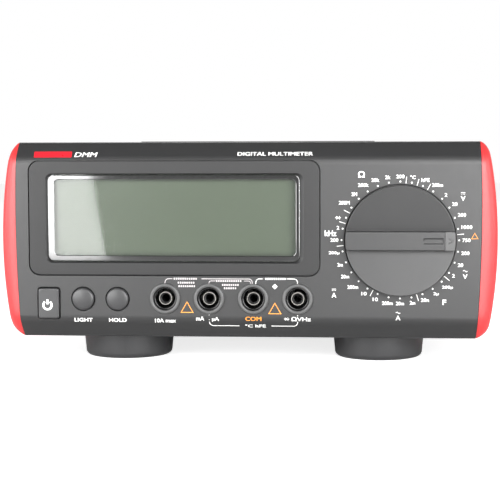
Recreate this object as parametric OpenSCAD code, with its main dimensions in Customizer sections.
// Bench multimeter with a side-mounted range dial, four shrouded input jacks and a lidded top compartment.
// Millimetres, +Z up, the front panel faces -Y. The origin is on the table, below the middle of the case.

/* [Case] */
// Width over the two side cheeks
case_w = 240; // [236:1:246]
// Height of the case without its feet
case_h = 94.6; // [93:0.2:96]
// Depth from the dial's face to the back edge
case_d = 310; // [306:1:330]
// Height of the case above the table
foot_h = 12.2; // [11:0.1:14]
// Thickness of the moulded walls
wall = 2.5; // [2:0.1:2.8]
// Depth of the front bezel
bezel_d = 20; // [18:1:22]
// How far the rolled top edge of the bezel leans back
roll_back = 6.5; // [5:0.5:8]
// How much of the height the rolled edge takes
roll_h = 8.5; // [7:0.5:9]

/* [Cheeks] */
// Half width of the case at the cheek seam, at mid height
seam_mid = 111.9; // [111.6:0.1:112.2]
// Half width at the seam along the top edge
seam_top = 111.2; // [111:0.1:111.4]
// Half width at the seam along the bottom edge
seam_bottom = 109.7; // [109.5:0.1:110]
// How far the cheek bulges between its edges and its middle
cheek_bulge = 5; // [4:0.5:6]

/* [Display] */
// Width of the display surround
surround_w = 140.4; // [140:0.2:142]
// Height of the display surround
surround_h = 54.8; // [54:0.2:55.4]
// Centre of the surround, across the panel
surround_x = -35; // [-35.4:0.1:-34.8]
// Centre of the surround, above the table
surround_z = 70.3; // [70:0.1:70.6]
// Width of the clear opening
window_w = 123.6; // [120:0.2:124]
// Height of the clear opening
window_h = 42.2; // [40:0.2:43]

/* [Range dial] */
// Radius of the dial
dial_r = 26; // [25:0.1:26.2]
// Height of the dial above the panel
dial_h = 9; // [8:0.5:10]
// Centre of the dial, across the panel
dial_x = 73.5; // [72.5:0.1:74]
// Centre of the dial, above the table
dial_z = 60; // [59:0.1:61]
// Width of the grip bar
bar_w = 8.8; // [8:0.2:10]
// Number of dial positions
positions = 32; // [24:4:40]

/* [Buttons and jacks] */
// Width and height of the power button
power_size = [10.3, 14.9];
// Radius of the two round buttons
button_r = 5.5; // [5:0.1:5.8]
// Distance between neighbouring input jacks
jack_pitch = 21.3; // [20:0.1:21.5]
// Radius of the socket that takes the test plug
socket_r = 2; // [1.9:0.05:2.1]
// Depth of the socket
socket_d = 22.5; // [20:0.5:23]

/* [Top] */
// Half width of the storage lid
lid_half = 61; // [60:0.5:62]
// Distance from the panel face to the lid's front edge
lid_setback = 60; // [58:0.5:62]
// Length of the storage lid
lid_l = 160; // [158:1:162]
// Depth of the storage tray below the top
tray_d = 46; // [44:1:46]
// Distance from the handle's pivots to its grip
handle_reach = 76; // [74:1:78]

/* [Feet] */
// Radius of a foot
foot_r = 22.6; // [20:0.1:23]
// Half the distance between left and right feet
foot_x = 63.2; // [60:0.1:66]

/* [Hidden] */
$fn = 64;
over = 1;      // how far a cut runs past the face that it opens
gap = 0.3;     // running gap between a moving piece and its hole
slip = 0.05;   // gap round a pin or screw

// Heights and depths that the rest is built from
z_low = foot_h;
z_top = foot_h + case_h;
z_mid = (z_low + z_top) / 2;
z_split = z_mid;
y_back = case_d / 2;
y_face = dial_h - case_d / 2;
y_seam = y_face + bezel_d;
face_t = 3;
y_inner = y_face + face_t;

// Front panel layout
pocket_d = 1.8;                             // depth of the pocket that holds the surround
ledge = 3;                                  // width of the ledge behind the surround
y_lens = y_face + pocket_d;
lens_t = 1.5;
window_x = surround_x + 0.8;
button_z = 31.2;
power_x = -96;
power_z = 29;
light_x = -79.2;
hold_x = -62.4;
jack_z = 31.6;
jack_first = -39.2;
jack_xs = [for (i = [0 : 3]) jack_first + i * jack_pitch];
jack_r = 5.6;
jack_ring_r = 7.35;
dial_seat = 1;                              // depth of the round seat under the dial
spindle_r = 6;
ball_orbit = 23.2;                          // from the dial's centre to a detent ball
board_t = 1.6;
y_board = y_inner + 5.6;                    // front face of the front board
y_board_back = y_board + board_t;
post_r = 2.8;
board_posts = [[-98, 97.4], [48, 97.4], [103, 97.4], [-86, 21], [-51, 21], [40, 21], [103, 21]];

// Top layout
y_lid = y_face + lid_setback;
y_hinge = y_lid + lid_l + 2;
lid_t = 2.2;
lid_top = z_top + 0.7;
z_ledge = lid_top - lid_t - 0.1;
z_hinge = z_ledge;
barrel_r = 2.2;
y_slot = y_hinge + 3;                       // back of the slot that the lid and its hinge lie in
tray_half = lid_half - 4;
z_tray = z_top - tray_d;
handle_w = 7;                               // width of a handle arm
handle_t = 6.5;
handle_x = lid_half + 2.5;                  // inner face of a handle arm
z_handle = z_top - handle_t - 0.5;
z_pivot = z_handle + handle_t / 2;
grip_w = 12;
y_grip = y_lid - 4 - grip_w;
y_pivot = y_grip + grip_w / 2 + handle_reach;
channel_floor = z_handle - 0.5;
hinge_spans = [[-54, -40], [-12, 12], [40, 54]];     // where the cover's hinge barrels lie, along X
lid_spans = [[-39.5, -27.5], [27.5, 39.5]];          // where the lid's own barrels lie

// Inside layout
cell_r = 13.1;
cell_l = 50;
cell_pitch = 27;
box_half_x = 43;
box_half_y = 57;
y_box = (y_lid + y_hinge) / 2 - 2;
z_box = z_tray - 2 - 2 * cell_r - 2.5;
z_main = z_low + wall + 4;
case_bosses = [[-102, -108], [102, -108], [-102, 132], [102, 132]];
cheek_ys = [-100, 15, 125];
cheek_zs = [z_mid - 24, z_mid + 24];
main_posts = [[-84, -112], [84, -112], [-84, 70], [84, 70]];
power_posts = [[-84, 84], [84, 84], [-84, 136], [84, 136]];
y_feet = [y_face + 36, y_back - 44];
y_rear = y_back - 9;
rear_t = 2.5;
inlet_x = 70;
inlet_z = 45;
inlet_body = [27.2, 19.8];
inlet_screw_x = 20;                         // from the inlet's middle to each of its screw holes
pin_spots = [[-7, -2], [7, -2], [0, 2]];    // from the inlet's middle
selector_x = 35;
selector_z = 45;
slot_xs = [-90 : 7 : -27];                  // cooling slots
slot_size = [3, 44];
slot_z = 58;
board_half = 92;                            // half width of the main and power boards
main_y = [-118, 75];
power_y = [79, 141];
ribbon_xs = [44, 72];
y_ribbon = -112;                            // where the ribbon cable meets the main board
core_x = [-72, -16];                        // transformer, across, along and above the power board
core_y = [84, 132];
core_lift = 4;
core_top = 28;
core_windows = [-62, -35];
limb_w = 9;
coil_y = [93.5, 122.5];
coil_gap = 0.5;
box_wall = 2;
z_cells = z_box + box_wall + 0.2 + cell_r;
y_door_screw = y_box + box_half_y - 5;

// ---- outlines and helpers ----

function xy(p) = [p[0], p[1]];
function unit(v) = v / norm(v);
function short_turn(angle) = angle > 180 ? angle - 360 : angle < -180 ? angle + 360 : angle;

// The arc that rounds corner b, between neighbours a and c, to the radius in b's third place
function corner(a, b, c, steps) =
    let (u = unit(xy(a) - xy(b)), v = unit(xy(c) - xy(b)), r = b[2])
    r == 0 ? [xy(b)] :
    let (
        half = acos(u * v) / 2,
        centre = xy(b) + unit(u + v) * r / sin(half),
        from = xy(b) + u * r / tan(half) - centre,
        to = xy(b) + v * r / tan(half) - centre,
        start = atan2(from.y, from.x),
        sweep = short_turn(atan2(to.y, to.x) - start)
    )
    [for (k = [0 : steps]) centre + r * [cos(start + sweep * k / steps), sin(start + sweep * k / steps)]];

// Closed outline through corners [x, y, radius]
function rounded(pts, steps = 8) =
    [for (i = [0 : len(pts) - 1])
        each corner(pts[(i + len(pts) - 1) % len(pts)], pts[i], pts[(i + 1) % len(pts)], steps)];

module rounded_box(x, z, w, h, r) {
    polygon(rounded([
        [x - w / 2, z - h / 2, r], [x + w / 2, z - h / 2, r],
        [x + w / 2, z + h / 2, r], [x - w / 2, z + h / 2, r]
    ]));
}

module along_x(x0, x1) {
    translate([x0, 0, 0]) rotate([90, 0, 90]) linear_extrude(x1 - x0) children();
}

module along_y(y0, y1) {
    translate([0, y1, 0]) rotate([90, 0, 0]) linear_extrude(y1 - y0) children();
}

module along_z(z0, z1) {
    translate([0, 0, z0]) linear_extrude(z1 - z0) children();
}

module block(low, high) {
    translate(low) cube(high - low);
}

module rod_x(y, z, r, x0, x1) {
    translate([x0, y, z]) rotate([0, 90, 0]) cylinder(r = r, h = x1 - x0);
}

module rod_y(x, z, r, y0, y1) {
    translate([x, y1, z]) rotate([90, 0, 0]) cylinder(r = r, h = y1 - y0);
}

module rod_z(x, y, r, z0, z1) {
    translate([x, y, z0]) cylinder(r = r, h = z1 - z0);
}

// Screw pointing up, its head below z
module screw_up(x, y, z, length, shaft_r, head_r, head_t) {
    difference() {
        union() {
            rod_z(x, y, shaft_r, z, z + length);
            rod_z(x, y, head_r, z - head_t, z);
        }
        for (turn = [0, 90])
            translate([x, y, z - head_t]) rotate(turn) cube([head_r * 1.2, 0.8, head_t], center = true);
    }
}

// Screw pointing down, its head above z
module screw_down(x, y, z, length, shaft_r, head_r, head_t) {
    translate([0, 0, 2 * z]) mirror([0, 0, 1]) screw_up(x, y, z, length, shaft_r, head_r, head_t);
}

// ---- case outline ----

// Circle [x, z, r] through three points
function circle_through(a, b, c) =
    let (
        d = 2 * (a.x * (b.y - c.y) + b.x * (c.y - a.y) + c.x * (a.y - b.y)),
        x = (a * a * (b.y - c.y) + b * b * (c.y - a.y) + c * c * (a.y - b.y)) / d,
        z = (a * a * (c.x - b.x) + b * b * (a.x - c.x) + c * c * (b.x - a.x)) / d
    )
    [x, z, norm(a - [x, z])];

seam = circle_through([seam_bottom, z_low], [seam_mid, z_mid], [seam_top, z_top]);
cheek_edge = case_w / 2 - cheek_bulge;
barrel = circle_through([cheek_edge, z_low], [case_w / 2, z_mid], [cheek_edge, z_top]);

// Long round bar along Y whose surface is one side of the case
module side_bar(arc, inset) {
    rod_y(arc[0], arc[1], arc[2] - inset, y_face - 5, y_back + 5, $fn = 256);
}

// The space between the two cheek seams
module between_seams(inset) {
    intersection_for (side = [0, 1])
        mirror([side, 0, 0]) side_bar(seam, inset);
}

// The case seen from the side, with its rolled front edges
module side_profile(inset = 0, front = 0, rear_r = 0) {
    polygon(rounded([
        [y_back - inset, z_low + inset, rear_r],
        [y_face + roll_back + inset, z_low + inset, 3],
        [y_face + front, z_low + roll_h, 8],
        [y_face + front, z_top - roll_h, 8],
        [y_face + roll_back + inset, z_top - inset, 3],
        [y_back - inset, z_top - inset, rear_r]
    ], 4));
}

// ---- front ----

module front_bezel() {
    color([0.2, 0.2, 0.21])
    difference() {
        union() {
            difference() {
                intersection() {
                    between_seams(0);
                    along_x(-case_w / 2, case_w / 2) side_profile();
                    block([-case_w, y_face - over, 0], [case_w, y_seam, 2 * z_top]);
                }
                intersection() {
                    between_seams(wall);
                    along_x(-case_w / 2, case_w / 2) side_profile(wall, face_t);
                }
            }
            for (x = jack_xs)
                rod_y(x, jack_z, jack_ring_r, y_face - 0.8, y_inner - over);
            for (p = board_posts)
                rod_y(p.x, p.y, post_r, y_inner - 0.5, y_board);
        }
        along_y(y_face - over, y_lens)
            rounded_box(surround_x, surround_z, surround_w + 0.8, surround_h + 0.8, 5.4);
        along_y(y_face, y_inner + over)
            rounded_box(surround_x, surround_z, surround_w - 2 * ledge, surround_h - 2 * ledge, 2);
        along_y(y_face - over, y_inner + 2)
            rounded_box(power_x, power_z, power_size.x + 0.7, power_size.y + 0.7, 1.6);
        for (x = [light_x, hold_x])
            rod_y(x, button_z, button_r + gap, y_face - over, y_inner + over);
        for (x = jack_xs)
            rod_y(x, jack_z, jack_r + slip, y_face - 2, y_inner + over);
        rod_y(dial_x, dial_z, dial_r + 0.5, y_face - over, y_face + dial_seat);
        rod_y(dial_x, dial_z, spindle_r + gap, y_face - over, y_inner + over);
        for (p = board_posts)
            rod_y(p.x, p.y, 1.2, y_inner + 0.6, y_board + over);
    }
}

// Opening that narrows towards the glass, its right slope wider than its left one
module bevelled_opening() {
    slope = [1.6, 3.8, 2.2];                // left, right, top and bottom
    grow = over / pocket_d;                 // how much further the slopes run past each face
    x0 = window_x - window_w / 2;
    x1 = window_x + window_w / 2;
    half = window_h / 2;
    z = surround_z - 0.3;
    intersection() {
        along_z(z - window_h, z + window_h)
            polygon([
                [x0 - slope.x * grow, y_face - over], [x1 + slope.y * grow, y_face - over],
                [x1 - slope.y * (1 + grow), y_lens + over], [x0 + slope.x * (1 + grow), y_lens + over]
            ]);
        along_x(x0 - 10, x1 + 10)
            polygon([
                [y_face - over, z - half - slope.z * grow], [y_face - over, z + half + slope.z * grow],
                [y_lens + over, z + half - slope.z * (1 + grow)],
                [y_lens + over, z - half + slope.z * (1 + grow)]
            ]);
    }
}

module display_surround() {
    color([0.22, 0.22, 0.23])
    difference() {
        along_y(y_face, y_lens) rounded_box(surround_x, surround_z, surround_w, surround_h, 5);
        bevelled_opening();
    }
}

module display_window() {
    color([0.85, 0.9, 0.88, 0.4])
    along_y(y_lens, y_lens + lens_t)
        rounded_box(surround_x, surround_z, surround_w - 2 * ledge - 1, surround_h - 2 * ledge - 1, 1.5);
}

module jack_housing(index) {
    x = jack_xs[index];
    y_end = y_face + socket_d + 4.5;
    color([0.05, 0.05, 0.05])
    difference() {
        union() {
            rod_y(x, jack_z, jack_r, y_face - 0.6, y_end);
            rod_y(x, jack_z, jack_r + 1.9, y_inner + 0.02, y_inner + 2);
        }
        rod_y(x, jack_z, jack_r - 0.8, y_face - 2, y_end - 4);
        rod_y(x, jack_z, 3.25 + slip, y_end - 5, y_end + over);
    }
}

module jack_sleeves() {
    y_mouth = y_face + 1.4;
    color([0.75, 0.72, 0.62])
    for (x = jack_xs)
        difference() {
            union() {
                rod_y(x, jack_z, 3.25, y_mouth, y_face + socket_d + 6);
                rod_y(x, jack_z, 1.4, y_face + socket_d + 5, y_face + socket_d + 12);
            }
            rod_y(x, jack_z, socket_r, y_mouth - over, y_mouth + socket_d);
        }
}

// ---- buttons ----

module power_button() {
    y_front = y_face - 1.2;
    color([0.24, 0.24, 0.25])
    union() {
        along_y(y_front, y_inner + 1.2) rounded_box(power_x, power_z, power_size.x, power_size.y, 1.3);
        along_y(y_inner + 0.2, y_inner + 1.4)
            rounded_box(power_x, power_z, power_size.x + 2.4, power_size.y - 4, 1.5);
        along_y(y_inner + 1.3, y_board_back + 2) rounded_box(power_x, power_z, 5, 5, 0.6);
    }
}

module round_button(x) {
    y_front = y_face - 1.6;
    color([0.25, 0.25, 0.26])
    union() {
        translate([x, y_front, button_z]) rotate([-90, 0, 0]) rotate_extrude()
            polygon([
                [0, 0], [button_r - 1.6, 0.15], [button_r - 0.5, 0.6], [button_r, 1.3],
                [button_r, face_t + 2.6], [0, face_t + 2.6]
            ]);
        rod_y(x, button_z, button_r + 1.1, y_inner + 0.1, y_inner + 1);
        rod_y(x, button_z, 2, y_inner + 0.5, y_inner + 2.2);
    }
}

module power_switch() {
    color([0.15, 0.15, 0.16])
    difference() {
        block([power_x - 6, y_board_back, power_z - 6.5], [power_x + 6, y_board_back + 14, power_z + 6.5]);
        block([power_x - 2.8, y_board_back - over, power_z - 2.8],
              [power_x + 2.8, y_board_back + 6, power_z + 2.8]);
    }
}

module tact_switches() {
    color([0.1, 0.1, 0.1])
    for (x = [light_x, hold_x]) {
        block([x - 3, y_board - 1.1, button_z - 3], [x + 3, y_board, button_z + 3]);
        rod_y(x, button_z, 1.7, y_board - 1.5, y_board - 1.05);
    }
}

// ---- range dial ----

// The two sloping finger pockets beside the grip bar
module finger_pockets() {
    y_dial = y_face - dial_h;
    for (side = [0, 1])
        translate([dial_x, 0, dial_z]) rotate([0, side * 180, 0])
            along_x(-dial_r - over, dial_r + over)
                polygon([
                    [y_dial - 2, bar_w / 2], [y_dial + 4.6, bar_w / 2],
                    [y_dial + 1.4, dial_r + over], [y_dial - 2, dial_r + over]
                ]);
}

module rotary_knob() {
    y_dial = y_face - dial_h;
    color([0.25, 0.25, 0.26])
    difference() {
        union() {
            translate([dial_x, y_dial, dial_z]) rotate([-90, 0, 0]) rotate_extrude($fn = 128)
                polygon([
                    [0, 0], [dial_r - 0.8, 0], [dial_r - 0.2, 0.3], [dial_r, 0.9],
                    [dial_r, dial_h + dial_seat - 0.3], [0, dial_h + dial_seat - 0.3]
                ]);
            rod_y(dial_x, dial_z, spindle_r, y_face, y_board - 0.4);
        }
        finger_pockets();
        block([dial_x + 10.9, y_dial - over, dial_z - 1.2], [dial_x + 19.9, y_dial + 0.7, dial_z + 1.2]);
        block([dial_x + dial_r - 5.2, y_dial - over, dial_z - bar_w],
              [dial_x + dial_r + over, y_dial + 1.2, dial_z + bar_w]);
    }
}

module knob_pointer() {
    y_dial = y_face - dial_h;
    color([0.5, 0.5, 0.5])
    difference() {
        intersection() {
            rod_y(dial_x, dial_z, dial_r - 0.3, y_dial, y_dial + 1.2);
            block([dial_x + dial_r - 5.15, y_dial - over, dial_z - bar_w / 2],
                  [dial_x + dial_r + over, y_dial + 2, dial_z + bar_w / 2]);
        }
        for (side = [-1, 1])
            translate([dial_x + dial_r - 1.6, y_dial, dial_z]) rotate([0, side * 30, 0])
                translate([-1.1, 0, 0]) cube([2.4, 0.6, 0.45], center = true);
    }
}

module range_rotor() {
    color([0.85, 0.85, 0.8])
    difference() {
        union() {
            rod_y(dial_x, dial_z, 24, y_inner + 0.5, y_inner + 2.2);
            rod_y(dial_x, dial_z, 9.5, y_inner + 2.1, y_board - 0.4);
        }
        rod_y(dial_x, dial_z, spindle_r + slip, y_inner, y_board + over);
        for (turn = [0 : 2])
            translate([dial_x, 0, dial_z]) rotate([0, 120 * turn + 60, 0])
                block([13, y_inner, -4], [20, y_inner + 3, 4]);
        for (side = [-1, 1])
            rod_y(dial_x + side * ball_orbit, dial_z, 1.2, y_inner, y_inner + 3);
    }
}

module rotor_contacts() {
    color([0.85, 0.7, 0.4])
    for (turn = [0 : 2], track = [12, 15.5, 19])
        translate([dial_x, 0, dial_z]) rotate([0, 120 * turn, 0])
            along_z(-1, 1)
                polygon(rounded([
                    [track - 1.1, y_inner + 2.25, 0], [track + 1.1, y_inner + 2.25, 0],
                    [track + 0.7, y_board - 0.1, 0.5], [track - 0.7, y_board - 0.1, 0.5]
                ], 4));
}

// Fixed ring on the board with one notch for each dial position
module detent_ring() {
    ring_r = 27.5;
    notch_r = 25.2;
    color([0.8, 0.8, 0.76])
    difference() {
        rod_y(dial_x, dial_z, ring_r, y_inner + 0.4, y_board);
        rod_y(dial_x, dial_z, notch_r - 0.3, y_inner, y_board + over);
        for (i = [0 : positions - 1])
            translate([dial_x, 0, dial_z]) rotate([0, i * 360 / positions, 0])
                translate([notch_r + 0.2, y_inner - over, 0]) rotate([-90, 45, 0])
                cube([1.3, 1.3, 18], center = true);
    }
}

// Two balls in the rotor's rim that drop into the detent notches
module detent_balls() {
    color([0.8, 0.8, 0.82])
    for (side = [-1, 1])
        translate([dial_x + side * ball_orbit, y_inner + 1.35, dial_z]) sphere(r = 0.8, $fn = 32);
}

// ---- display ----

lcd_w = 128;
lcd_h = 45.6;
y_lcd = y_lens + lens_t + 0.1;
lcd_t = 2.6;

module lcd_glass() {
    color([0.5, 0.58, 0.48])
    along_y(y_lcd, y_lcd + lcd_t) rounded_box(window_x, surround_z, lcd_w, lcd_h, 0.5);
}

module lcd_backlight() {
    color([0.9, 0.92, 0.88])
    along_y(y_lcd + lcd_t, y_board) rounded_box(window_x, surround_z, lcd_w - 4, lcd_h - 5, 0.5);
}

module zebra_strips() {
    color([0.85, 0.5, 0.6])
    for (side = [-1, 1])
        along_y(y_lcd + lcd_t, y_board)
            rounded_box(window_x, surround_z + side * (lcd_h / 2 - 1.15), lcd_w - 8, 1.9, 0.4);
}

module lcd_frame() {
    color([0.1, 0.1, 0.11])
    difference() {
        along_y(y_lcd, y_board) rounded_box(window_x, surround_z, lcd_w + 3.4, lcd_h + 2.6, 1);
        along_y(y_lcd - over, y_board + over)
            rounded_box(window_x, surround_z, lcd_w + 0.2, lcd_h + 0.2, 0.5);
    }
}

// ---- shells ----

// One shell of the case, between the bezel and the back edge
module shell_blank(z0, z1) {
    difference() {
        intersection() {
            between_seams(0);
            along_x(-case_w / 2, case_w / 2) side_profile(0, 0, 2);
            block([-case_w, y_seam, z0], [case_w, y_back + over, z1]);
        }
        intersection() {
            between_seams(wall);
            block([-case_w, y_seam - over, z_low + wall], [case_w, y_back + over, z_top - wall]);
        }
    }
}

// Ribs before and behind the rear panel, which hold it in a groove
module panel_ribs(z0, z1) {
    for (y = [y_rear - 1.6, y_rear + rear_t + 0.1])
        difference() {
            intersection() {
                between_seams(1);
                block([-case_w, y, max(z0, z_low + 1)], [case_w, y + 1.5, min(z1, z_top - 1)]);
            }
            intersection() {
                between_seams(wall + 2.2);
                block([-case_w, y - over, z_low + wall + 2.2], [case_w, y + 3, z_top - wall - 2.2]);
            }
        }
}

module cheek_screw_holes() {
    for (side = [0, 1], y = cheek_ys, z = cheek_zs)
        mirror([side, 0, 0]) rod_x(y, z, 1.5, seam_mid - wall - 3, seam_mid + over);
}

module bottom_case() {
    color([0.18, 0.18, 0.19])
    difference() {
        union() {
            shell_blank(z_low, z_split);
            panel_ribs(z_low, z_split);
            for (p = case_bosses)
                rod_z(p.x, p.y, 5, z_low + 1, z_split);
            for (p = concat(main_posts, power_posts))
                rod_z(p.x, p.y, 3.5, z_low + 1, z_main);
            for (side = [-1, 1], y = y_feet)
                rod_z(side * foot_x, y, 6, z_low + 1, z_main - 1);
        }
        for (p = case_bosses) {
            rod_z(p.x, p.y, 2.1, z_low - over, z_split + over);
            rod_z(p.x, p.y, 3.8, z_low - over, z_low + 24);
        }
        for (p = concat(main_posts, power_posts))
            rod_z(p.x, p.y, 1.2, z_low + 2, z_main + over);
        for (side = [-1, 1], y = y_feet)
            rod_z(side * foot_x, y, 1.6, z_low - over, z_main + over);
        for (x = [-60 : 8 : -20])
            block([x - 1.5, 60, z_low - over], [x + 1.5, 96, z_low + wall + over]);
        cheek_screw_holes();
    }
}

// Sunk channel in the top that the folded handle lies in
module handle_channel(grow, z0, z1) {
    half = handle_x + handle_w + 0.5 + grow;
    difference() {
        along_z(z0, z1)
            polygon(rounded([
                [-half, y_grip - 0.6 - grow, 4], [half, y_grip - 0.6 - grow, 4],
                [half, y_pivot + 5 + grow, 3], [-half, y_pivot + 5 + grow, 3]
            ]));
        block([grow + 0.5 - handle_x, y_lid - 3.4 + grow, z0 - over],
              [handle_x - 0.5 - grow, y_pivot + 20, z1 + over]);
    }
}

module finger_scoop(grow, z0, z1) {
    along_z(z0, z1)
        rounded_box(0, y_grip - 4, 60 + 2 * grow, 9 + 2 * grow, 4);
}

// Hinge barrels of the cover, set into the slot behind the lid
module cover_barrels() {
    for (span = hinge_spans)
        along_x(span[0], span[1])
            polygon(rounded([
                [y_hinge - barrel_r, z_hinge - 3, 0], [y_slot + 1, z_hinge - 3, 0],
                [y_slot + 1, z_hinge + 1.2, 0], [y_hinge + 1, z_hinge + barrel_r, 1],
                [y_hinge - barrel_r, z_hinge + barrel_r, 2]
            ], 4));
}

module top_cover() {
    arm_out = handle_x + handle_w;          // outer face of a handle arm
    color([0.2, 0.2, 0.21])
    difference() {
        union() {
            difference() {
                union() {
                    shell_blank(z_split, z_top);
                    panel_ribs(z_split, z_top);
                    for (p = case_bosses)
                        rod_z(p.x, p.y, 5, z_split, z_top - 1);
                    handle_channel(1.6, channel_floor - 2, z_top - 1);
                    finger_scoop(1.6, channel_floor - 2, z_top - 1);
                    block([-lid_half - 2, y_lid - 2, z_ledge - 4.4], [lid_half + 2, y_slot + 2, z_top - 1]);
                    for (side = [0, 1])
                        mirror([side, 0, 0]) rod_x(y_pivot, z_pivot, 3.6, arm_out + 1.5, arm_out + 9);
                }
                block([-lid_half - 0.3, y_lid - 0.3, z_ledge], [lid_half + 0.3, y_slot, z_top + over]);
                block([-tray_half - 1, y_lid + 3, z_split], [tray_half + 1, y_hinge - 6, z_top]);
                block([-lid_half - 0.3, y_hinge - 3.6, z_ledge - 2.5], [lid_half + 0.3, y_slot, z_top]);
                handle_channel(0, channel_floor, z_top + over);
                finger_scoop(0, channel_floor, z_top + over);
            }
            cover_barrels();
        }
        rod_x(y_hinge, z_hinge, 1 + slip, -53.6, 53.6);
        for (side = [0, 1])
            mirror([side, 0, 0]) rod_x(y_pivot, z_pivot, 2 + slip, arm_out - 1, arm_out + 7.5);
        for (p = case_bosses)
            rod_z(p.x, p.y, 1.5, z_split - over, z_split + 22);
        cheek_screw_holes();
    }
}

module storage_tray() {
    y0 = y_lid + 3.2;
    y1 = y_hinge - 6.2;
    color([0.17, 0.17, 0.18])
    difference() {
        along_z(z_tray, z_ledge - 0.1)
            rounded_box(0, (y0 + y1) / 2, 2 * tray_half + 1.6, y1 - y0, 4);
        along_z(z_tray + 2, z_top) rounded_box(0, (y0 + y1) / 2, 2 * tray_half - 2.4, y1 - y0 - 4, 3);
        block([2 - box_half_x, y_box - box_half_y + 2, z_tray - over],
              [box_half_x - 2, y_box + box_half_y - 2, z_tray + 3]);
    }
}

module storage_lid() {
    color([0.2, 0.2, 0.21])
    difference() {
        union() {
            along_z(z_ledge + 0.1, lid_top)
                polygon(rounded([
                    [-lid_half, y_lid, 3], [lid_half, y_lid, 3],
                    [lid_half, y_hinge - 3, 1], [-lid_half, y_hinge - 3, 1]
                ]));
            difference() {
                block([3 - tray_half, y_lid + 6, z_ledge - 4], [tray_half - 3, y_hinge - 10, z_ledge + 0.2]);
                block([4.5 - tray_half, y_lid + 7.5, z_ledge - 5],
                      [tray_half - 4.5, y_hinge - 11.5, z_ledge + 0.1]);
            }
            for (span = lid_spans)
                along_x(span[0], span[1])
                    polygon(rounded([
                        [y_hinge - 5, z_hinge + 0.15, 0], [y_hinge - 3.2, z_hinge + 0.15, 0],
                        [y_hinge - barrel_r, z_hinge - barrel_r, 2],
                        [y_hinge + barrel_r, z_hinge - barrel_r, 2.1],
                        [y_hinge + barrel_r, z_hinge + barrel_r, 2.1], [y_hinge - 5, z_hinge + barrel_r, 0]
                    ], 5));
        }
        rod_x(y_hinge, z_hinge, 1 + slip, -60, 60);
        translate([0, y_lid, lid_top + 5]) rotate([0, 90, 0]) cylinder(r = 6.2, h = 24, center = true);
    }
}

module lid_hinge_pin() {
    color([0.75, 0.75, 0.76])
    rod_x(y_hinge, z_hinge, 1, -53.5, 53.5);
}

// ---- handle ----

module carry_handle() {
    y_front = y_grip;
    half = handle_x + handle_w;
    color([0.13, 0.13, 0.14])
    difference() {
        union() {
            for (side = [-1, 1]) {
                x0 = side > 0 ? handle_x : -half;
                block([x0, y_front + grip_w / 2, z_handle], [x0 + handle_w, y_pivot, z_handle + handle_t]);
                rod_x(y_pivot, z_pivot, handle_t / 2, x0, x0 + handle_w);
            }
            along_z(z_handle, z_handle + handle_t)
                polygon(rounded([
                    [-half, y_front, 6], [half, y_front, 6], [half, y_front + grip_w, 0],
                    [-half, y_front + grip_w, 0]
                ]));
        }
        rod_x(y_pivot, z_pivot, 2 + slip, -half - over, half + over);
        difference() {
            block([-50, y_front - over, z_handle - over], [50, y_front + grip_w + over, z_top]);
            block([-51, y_front + 3, z_handle + 1.6], [51, y_front + grip_w - 3, z_handle + handle_t - 1.6]);
        }
    }
}

module handle_grip() {
    color([0.06, 0.06, 0.06])
    difference() {
        along_x(-49.9, 49.9)
            polygon(rounded([
                [y_grip, z_handle, 1.6], [y_grip + grip_w, z_handle, 1.6],
                [y_grip + grip_w, z_handle + handle_t, 1.6], [y_grip, z_handle + handle_t, 1.6]
            ], 5));
        block([-51, y_grip + 3, z_handle + 1.6], [51, y_grip + grip_w - 3, z_handle + handle_t - 1.6]);
        for (x = [-44 : 8 : 44])
            block([x - 1, y_grip - over, z_handle + handle_t - 0.6],
                  [x + 1, y_grip + 0.7, z_handle + handle_t + 1]);
    }
}

module handle_pivots() {
    color([0.75, 0.75, 0.76])
    for (side = [-1, 1])
        rod_x(y_pivot, z_pivot, 2, side > 0 ? handle_x + 0.5 : -handle_x - handle_w - 7,
              side > 0 ? handle_x + handle_w + 7 : -handle_x - 0.5);
}

// ---- cheeks ----

// The outer form of the +X cheek, or its hollow when inset
module cheek_form(inset) {
    x0 = seam_bottom - 4;
    intersection() {
        side_bar(barrel, inset);
        along_x(x0, case_w / 2 + over) side_profile(inset, inset, 6);
        along_y(y_face - over, y_back + over)
            polygon(rounded([
                [x0, z_low + inset, 0], [cheek_edge + 0.6 - inset, z_low + inset, 4],
                [cheek_edge + 2.2 * cheek_bulge, z_mid, 0],
                [cheek_edge + 0.6 - inset, z_top - inset, 4], [x0, z_top - inset, 0]
            ], 5));
        along_z(z_low - over, z_top + over)
            polygon(rounded([
                [x0, y_face + 0.6 + inset, 0], [case_w / 2 + 0.2 - inset, y_face + 0.6 + inset, 6],
                [case_w / 2 + 0.2 - inset, y_back - inset, 5], [x0, y_back - inset, 0]
            ], 5));
    }
}

module cheek() {
    boss_x = seam_mid + 0.3;
    difference() {
        union() {
            difference() {
                cheek_form(0);
                side_bar(seam, 0);
                cheek_form(2.4);
            }
            for (y = cheek_ys, z = cheek_zs)
                rod_x(y, z, 3.4, boss_x, case_w / 2 - 3);
        }
        for (y = cheek_ys, z = cheek_zs)
            rod_x(y, z, 1.25, boss_x - over, boss_x + 3.6);
    }
}

module left_cheek() {
    color([0.85, 0.1, 0.1]) mirror([1, 0, 0]) cheek();
}

module right_cheek() {
    color([0.85, 0.1, 0.1]) cheek();
}

module cheek_screws() {
    color([0.7, 0.7, 0.72])
    for (side = [0, 1])
        mirror([side, 0, 0])
            for (y = cheek_ys, z = cheek_zs) {
                rod_x(y, z, 1.2, seam_mid - wall - 1, seam_mid + 3.4);
                rod_x(y, z, 2.6, seam_mid - wall - 2.4, seam_mid - wall - 0.9);
            }
}

// ---- rear ----

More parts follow.
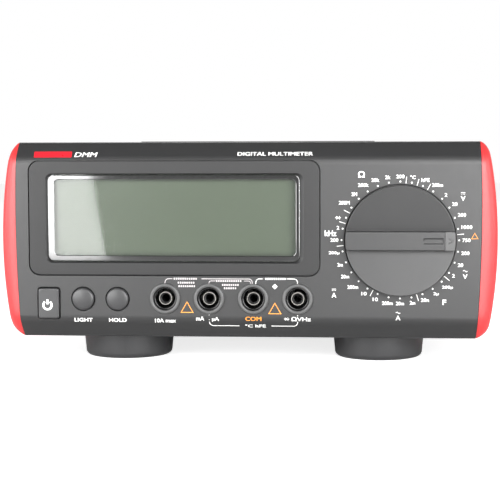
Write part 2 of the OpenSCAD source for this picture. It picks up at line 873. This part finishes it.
module rear_panel() {
    color([0.19, 0.19, 0.2])
    difference() {
        intersection() {
            between_seams(wall + 0.1);
            block([-case_w, y_rear, z_low + wall + 0.1], [case_w, y_rear + rear_t, z_top - wall - 0.1]);
        }
        along_y(y_rear - over, y_rear + 4)
            rounded_box(inlet_x, inlet_z, inlet_body.x + 0.4, inlet_body.y + 0.4, 2);
        along_y(y_rear - over, y_rear + 4) rounded_box(selector_x, selector_z, 8.2, 14.2, 1);
        for (x = slot_xs)
            along_y(y_rear - over, y_rear + 4) rounded_box(x, slot_z, slot_size.x, slot_size.y, 1.4);
        for (side = [-1, 1])
            rod_y(inlet_x + side * inlet_screw_x, inlet_z, 1.7, y_rear - over, y_rear + 4);
    }
}

module mains_inlet() {
    y_rim = y_rear + rear_t;
    color([0.06, 0.06, 0.06])
    difference() {
        union() {
            along_y(y_rim, y_rim + 2.4)
                polygon(rounded([
                    [inlet_x - 25, inlet_z, 4], [inlet_x - 15, inlet_z - 12, 3],
                    [inlet_x + 15, inlet_z - 12, 3],
                    [inlet_x + 25, inlet_z, 4], [inlet_x + 15, inlet_z + 12, 3],
                    [inlet_x - 15, inlet_z + 12, 3]
                ], 5));
            along_y(y_rear - 18, y_rim + 0.1) rounded_box(inlet_x, inlet_z, inlet_body.x, inlet_body.y, 2);
        }
        along_y(y_rim - 14, y_rim + 3)
            polygon(rounded([
                [inlet_x - 12.2, inlet_z - 8.2, 1], [inlet_x + 12.2, inlet_z - 8.2, 1],
                [inlet_x + 12.2, inlet_z + 4, 1], [inlet_x + 7.5, inlet_z + 8.2, 1],
                [inlet_x - 7.5, inlet_z + 8.2, 1], [inlet_x - 12.2, inlet_z + 4, 1]
            ], 4));
        for (p = pin_spots)
            block([inlet_x + p.x - 1.05, y_rear - 19, inlet_z + p.y - 2.05],
                  [inlet_x + p.x + 1.05, y_rear, inlet_z + p.y + 2.05]);
        for (side = [-1, 1])
            rod_y(inlet_x + side * inlet_screw_x, inlet_z, 1.6, y_rear, y_rim + 3);
    }
}

module inlet_pins() {
    color([0.8, 0.78, 0.7])
    for (p = pin_spots)
        block([inlet_x + p.x - 1, y_rear - 22, inlet_z + p.y - 2],
              [inlet_x + p.x + 1, y_rear + rear_t - 3.5, inlet_z + p.y + 2]);
}

module voltage_selector() {
    color([0.75, 0.12, 0.1])
    difference() {
        union() {
            block([selector_x - 3.8, y_rear - 1, selector_z - 6.8],
                  [selector_x + 3.8, y_rear + 1.5, selector_z + 1.8]);
            block([selector_x - 5.5, y_rear - 5, selector_z - 9],
                  [selector_x + 5.5, y_rear - 0.5, selector_z + 5]);
        }
        block([selector_x - 2.6, y_rear + 0.7, selector_z - 3.2],
              [selector_x + 2.6, y_rear + 2, selector_z - 1.8]);
    }
}

// ---- feet and long screws ----

module foot(x, y) {
    color([0.16, 0.16, 0.165])
    translate([x, y, 0]) rotate_extrude($fn = 96)
        polygon(concat(
            [[2.3, 4.5], [5.2, 4.5], [5.2, 0.4], [5.6, 0], [foot_r - 3.4, 0]],
            [for (a = [15 : 15 : 75]) [foot_r - 3.4 + 2.6 * sin(a), 2.6 - 2.6 * cos(a)]],
            [[foot_r - 0.8, 2.8], [foot_r, foot_h], [2.3, foot_h]]
        ));
}

module foot_front_left() { foot(-foot_x, y_feet[0]); }
module foot_front_right() { foot(foot_x, y_feet[0]); }
module foot_rear_left() { foot(-foot_x, y_feet[1]); }
module foot_rear_right() { foot(foot_x, y_feet[1]); }

module foot_screws() {
    color([0.7, 0.7, 0.72])
    for (side = [-1, 1], y = y_feet)
        screw_up(side * foot_x, y, 4.5, z_main - 6, 1.5, 4, 2);
}

module case_screws() {
    color([0.7, 0.7, 0.72])
    for (p = case_bosses)
        screw_up(p.x, p.y, z_low + 24, z_split - z_low - 24 + 18, 1.45, 3.5, 2.4);
}

// ---- inside ----

module front_board() {
    color([0.1, 0.35, 0.18])
    difference() {
        along_y(y_board, y_board_back)
            polygon(rounded([
                [-106.5, z_low + 5, 2], [106.5, z_low + 5, 2], [108, z_mid, 0], [106.5, z_top - 5, 2],
                [-106.5, z_top - 5, 2], [-108, z_mid, 0]
            ], 4));
        for (x = jack_xs)
            rod_y(x, jack_z, jack_r + 0.2, y_board - over, y_board + 3);
        along_y(y_board - over, y_board + 3) rounded_box(power_x, power_z, 7, 7, 0.8);
        for (p = board_posts)
            rod_y(p.x, p.y, 1.6, y_board - over, y_board + 3);
    }
}

module main_board() {
    color([0.1, 0.35, 0.18])
    difference() {
        block([-board_half, main_y[0], z_main], [board_half, main_y[1], z_main + board_t]);
        for (p = main_posts)
            rod_z(p.x, p.y, 1.7, z_main - over, z_main + 3);
    }
}

module power_board() {
    color([0.55, 0.42, 0.22])
    difference() {
        block([-board_half, power_y[0], z_main], [board_half, power_y[1], z_main + board_t]);
        for (p = power_posts)
            rod_z(p.x, p.y, 1.7, z_main - over, z_main + 3);
    }
}

module board_screws() {
    color([0.7, 0.7, 0.72])
    union() {
        for (p = concat(main_posts, power_posts))
            screw_down(p.x, p.y, z_main + board_t, board_t + 4, 1.15, 2.6, 1.6);
        for (p = board_posts) {
            rod_y(p.x, p.y, 1.15, y_board - 3, y_board_back + 0.1);
            rod_y(p.x, p.y, 2.4, y_board_back, y_board_back + 1.5);
        }
    }
}

module board_parts() {
    z = z_main + board_t;
    color([0.1, 0.1, 0.11])
    union() {
        block([52, -90, z], [66, -76, z + 2]);
        block([50, -60, z], [70, -52, z + 3.5]);
        block([-80, -40, z], [-66, -26, z + 2]);
        for (y = [-10, 4, 18])
            rod_z(62, y, 4, z, z + 11);
        for (x = [20, 36])
            rod_z(x, 100, 8, z, z + 25);
        block([62, 92, z], [76, 96, z + 16]);
    }
}

module ribbon_cable() {
    color([0.75, 0.75, 0.75])
    along_x(ribbon_xs[0], ribbon_xs[1])
        polygon(rounded([
            [y_board_back, 18.5, 0], [y_board_back + 8, 18.5, 2.6], [y_board_back + 8, z_main + 13, 3.4],
            [y_ribbon, z_main + 13, 3.4], [y_ribbon, z_main + board_t, 0],
            [y_ribbon + 0.8, z_main + board_t, 0],
            [y_ribbon + 0.8, z_main + 13.8, 4.2], [y_board_back + 7.2, z_main + 13.8, 4.2],
            [y_board_back + 7.2, 19.3, 1.8], [y_board_back, 19.3, 0]
        ], 5));
}

fuse_beds = [[-62, -95, 16, 3.2], [-62, -75, 10, 2.6]];      // x, y, half length, radius

module input_fuses() {
    z = z_main + board_t + 5;
    color([0.9, 0.9, 0.86])
    for (f = fuse_beds)
        rod_x(f[1], z, f[3], f[0] - f[2], f[0] + f[2]);
}

module fuse_clips() {
    z = z_main + board_t;
    color([0.8, 0.78, 0.7])
    for (f = fuse_beds, side = [-1, 1])
        difference() {
            block([f[0] + side * (f[2] - 3) - 2, f[1] - f[3] - 0.6, z],
                  [f[0] + side * (f[2] - 3) + 2, f[1] + f[3] + 0.6, z + 6.5]);
            rod_x(f[1], z + 5, f[3] + slip, f[0] - f[2] - 5, f[0] + f[2] + 5);
            block([f[0] - 30, f[1] - f[3] + 0.8, z + 5], [f[0] + 30, f[1] + f[3] - 0.8, z + 9]);
        }
}

// The coil passes through both windows of the core
module transformer_core() {
    z = z_main + board_t;
    color([0.4, 0.4, 0.42])
    difference() {
        block([core_x[0], core_y[0], z + core_lift], [core_x[1], core_y[1], z + core_top]);
        for (x = core_windows)
            block([x, coil_y[0] - coil_gap, z], [x + limb_w, coil_y[1] + coil_gap, z + core_top + 2]);
    }
}

module transformer_winding() {
    z = z_main + board_t;
    x0 = core_windows[0] + coil_gap;
    x1 = core_windows[1] + limb_w - coil_gap;
    limb = limb_w - 2 * coil_gap;
    color([0.85, 0.7, 0.25])
    union() {
        block([x0, coil_y[0], z + 0.1], [x1, coil_y[1], z + core_lift - 0.1]);
        for (x = [x0, x1 - limb])
            block([x, coil_y[0], z + core_lift - 1], [x + limb, coil_y[1], z + core_top + 2]);
        block([x0, coil_y[0], z + core_top + 0.1], [x1, coil_y[1], z + core_top + 8]);
    }
}

module battery_box() {
    color([0.12, 0.12, 0.13])
    difference() {
        block([-box_half_x, y_box - box_half_y, z_box], [box_half_x, y_box + box_half_y, z_tray - 0.1]);
        block([box_wall - box_half_x, y_box - box_half_y + box_wall, z_box + box_wall],
              [box_half_x - box_wall, y_box + box_half_y - box_wall, z_tray + over]);
    }
}

module battery_cells() {
    color([0.2, 0.25, 0.5])
    for (col = [-1 : 1], row = [-1, 1]) {
        y0 = y_box + row * (cell_l / 2 + 0.3);
        union() {
            rod_y(col * cell_pitch, z_cells, cell_r - 0.2, y0 - cell_l / 2 + 1.5, y0 + cell_l / 2 - 1.5);
            rod_y(col * cell_pitch, z_cells, cell_r / 4, y0 - cell_l / 2 + 0.2, y0 + cell_l / 2 - 0.2);
        }
    }
}

// Plates and coil stand-ins at both ends of the cell rows
module battery_springs() {
    color([0.8, 0.8, 0.8])
    for (col = [-1 : 1], side = [-1, 1]) {
        y_wall = y_box + side * (box_half_y - box_wall);
        translate([col * cell_pitch, y_wall, z_cells])
            union() {
                block([-9, side > 0 ? -0.5 : 0, -9], [9, side > 0 ? 0 : 0.5, 9]);
                rotate([side * 90, 0, 0]) cylinder(r1 = 5, r2 = 3, h = 3.5);
            }
    }
}

module battery_door() {
    color([0.17, 0.17, 0.18])
    difference() {
        block([-box_half_x - 2.5, y_box - box_half_y - 1, z_tray + 2.05],
              [box_half_x + 2.5, y_box + box_half_y + 1, z_tray + 4.2]);
        for (y = [-30 : 6 : 30])
            block([-30, y_box + y - 1, z_tray + 3.6], [30, y_box + y + 1, z_tray + 5]);
        rod_z(0, y_door_screw, 1.7, z_tray, z_tray + 6);
    }
}

module battery_door_screw() {
    color([0.7, 0.7, 0.72])
    screw_down(0, y_door_screw, z_tray + 4.25, 3.8, 1.5, 3, 1.6);
}

// ---- what is drawn ----

front_bezel();
display_surround();
display_window();
top_cover();
bottom_case();
left_cheek();
right_cheek();
cheek_screws();
rear_panel();
storage_tray();
storage_lid();
lid_hinge_pin();
battery_door();
battery_door_screw();
battery_box();
battery_cells();
battery_springs();
carry_handle();
handle_grip();
handle_pivots();
foot_front_left();
foot_front_right();
foot_rear_left();
foot_rear_right();
foot_screws();
case_screws();
rotary_knob();
knob_pointer();
range_rotor();
rotor_contacts();
detent_ring();
detent_balls();
power_button();
round_button(light_x);  // light_button
round_button(hold_x);  // hold_button
power_switch();
tact_switches();
jack_housing(0);  // jack_amps
jack_housing(1);  // jack_milliamps
jack_housing(2);  // jack_common
jack_housing(3);  // jack_volts
jack_sleeves();
lcd_glass();
lcd_backlight();
lcd_frame();
zebra_strips();
front_board();
main_board();
board_screws();
board_parts();
ribbon_cable();
input_fuses();
fuse_clips();
power_board();
transformer_core();
transformer_winding();
mains_inlet();
inlet_pins();
voltage_selector();
